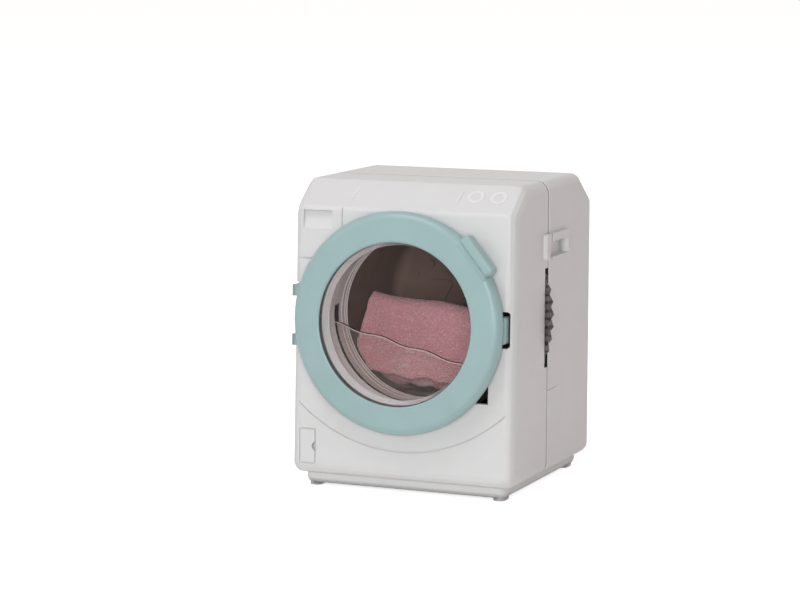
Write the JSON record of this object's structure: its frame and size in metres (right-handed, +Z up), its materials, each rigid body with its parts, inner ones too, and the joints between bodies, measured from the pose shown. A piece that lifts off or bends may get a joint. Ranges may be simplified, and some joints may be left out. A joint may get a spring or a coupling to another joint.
{
  "type": "toy washing machine",
  "caption": "Doll's house front-loading washing machine: hinged round door with clear window, drum spun by a thumb wheel in the sides, rocking clear wave plate, folded towel.",
  "frame": {"origin": "on the floor, under the middle of the machine's bounding box", "axes": "+X to the right seen from the front, +Y from the front to the back, +Z up"},
  "size_m": [0.0552, 0.0546, 0.068],
  "materials": {
    "white_plastic": "satin moulded white plastic",
    "mint_plastic": "satin moulded pale mint plastic",
    "dark_plastic": "satin moulded dark brown-grey plastic",
    "clear_plastic": "polished clear plastic",
    "steel": "zinc plated steel",
    "terry_cloth": "looped pink terry cloth"
  },
  "bodies": {
    "housing": {"front_shell": "white_plastic", "rear_shell": "white_plastic", "inner_collar": "white_plastic", "base_plinth": "white_plastic", "drum_axle": "steel", "housing_screw_1": "steel", "housing_screw_2": "steel", "housing_screw_3": "steel", "housing_screw_4": "steel", "collar_screw_1": "steel", "collar_screw_2": "steel", "base_screw_1": "steel", "base_screw_2": "steel", "hinge_pin": "steel"},
    "door": {"door_ring": "mint_plastic", "door_window": "clear_plastic", "window_retainer": "mint_plastic"},
    "drum": {"drum_cup": "dark_plastic", "thumb_wheel": "dark_plastic", "laundry_towel": "terry_cloth"},
    "wave": {"wave_plate": "clear_plastic"}
  },
  "joints": [
    {"name": "door_hinge", "type": "hinge", "parent": "housing", "child": "door", "pos_m": [-0.02405, -0.02127, 0.03797], "axis": [0, -0.0295, -0.9996], "range_deg": [0, 105]},
    {"name": "drum_spin", "type": "hinge", "parent": "housing", "child": "drum", "pos_m": [0, 0, 0.038], "axis": [0, 1, 0], "continuous": true},
    {"name": "wave_rock", "type": "hinge", "parent": "housing", "child": "wave", "pos_m": [0, 0, 0.038], "axis": [0, -1, 0], "range_deg": [-9.5, 36.5]}
  ]
}
